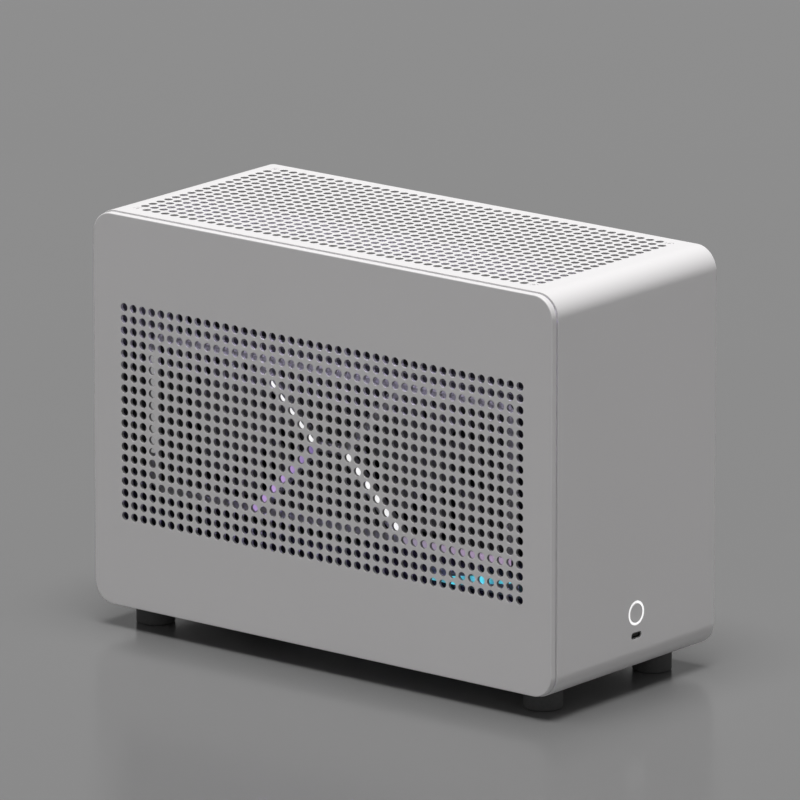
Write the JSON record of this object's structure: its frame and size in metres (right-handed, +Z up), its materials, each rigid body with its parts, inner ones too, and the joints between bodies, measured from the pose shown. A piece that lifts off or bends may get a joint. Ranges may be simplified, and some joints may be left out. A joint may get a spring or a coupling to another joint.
{
  "type": "mini-itx computer case",
  "caption": "Small upright computer case in white perforated sheet, with a lit power button, pull-off sides, steel chassis and a graphics card inside.",
  "frame": {"origin": "on the floor, under the middle of the case", "axes": "+X to the case's right side, -Y to the front with the power button, +Z up"},
  "size_m": [0.152, 0.342, 0.251],
  "materials": {
    "white_sheet": "fine white powder coat",
    "black_steel": "black powder coat",
    "spring_steel": "plain",
    "brass_pillar": "turned",
    "foot_rubber": "matte",
    "black_plastic": "matte",
    "circuit_board": "solder mask",
    "bright_frame": "satin",
    "dark_fins": "dark anodised",
    "ring_light": "lit",
    "violet_light": "lit",
    "cyan_light": "lit",
    "floor_light": "lit"
  },
  "bodies": {
    "chassis": {"outer_shell": "white_sheet", "top_left_rail": "black_steel", "bottom_left_rail": "black_steel", "top_right_rail": "black_steel", "bottom_right_rail": "black_steel", "rear_panel": "black_steel", "mid_plate": "black_steel", "psu_bracket": "black_steel", "riser_bracket": "black_steel", "port_bracket": "black_steel", "card_bracket": "spring_steel", "usb_socket": "spring_steel", "card_ports": "spring_steel", "board_standoffs": "brass_pillar", "front_left_foot": "foot_rubber", "front_right_foot": "foot_rubber", "rear_left_foot": "foot_rubber", "rear_right_foot": "foot_rubber", "power_inlet": "black_plastic", "switch_body": "black_plastic", "riser_socket": "black_plastic", "card_shroud": "black_plastic", "riser_board": "circuit_board", "port_board": "circuit_board", "card_board": "circuit_board", "card_frame": "bright_frame", "card_fins": "dark_fins", "card_backplate": "dark_fins", "light_ring": "ring_light", "top_light_strip": "violet_light", "front_light_strip": "cyan_light", "floor_light_strip": "floor_light"},
    "left_panel": {"left_side_panel": "white_sheet", "left_panel_tabs": "spring_steel"},
    "right_panel": {"right_side_panel": "white_sheet", "right_panel_tabs": "spring_steel"},
    "button": {"power_button": "white_sheet"},
    "front_fan": {"front_fan_rotor": "black_plastic"},
    "rear_fan": {"rear_fan_rotor": "black_plastic"}
  },
  "joints": [
    {"name": "left_panel_pull", "type": "slide", "parent": "chassis", "child": "left_panel", "axis": [-1, 0, 0], "range_m": [0, 0.04]},
    {"name": "right_panel_pull", "type": "slide", "parent": "chassis", "child": "right_panel", "axis": [1, 0, 0], "range_m": [0, 0.04]},
    {"name": "power_button_press", "type": "slide", "parent": "chassis", "child": "button", "axis": [0, 1, 0], "range_m": [0, 0.0012], "stiffness_N_per_m": 900, "springref_m": -0.001},
    {"name": "front_fan_spin", "type": "hinge", "parent": "chassis", "child": "front_fan", "pos_m": [-0.0478, -0.0595, 0.129], "axis": [1, 0, 0], "continuous": true},
    {"name": "rear_fan_spin", "type": "hinge", "parent": "chassis", "child": "rear_fan", "pos_m": [-0.0478, 0.0765, 0.129], "axis": [1, 0, 0], "continuous": true}
  ]
}
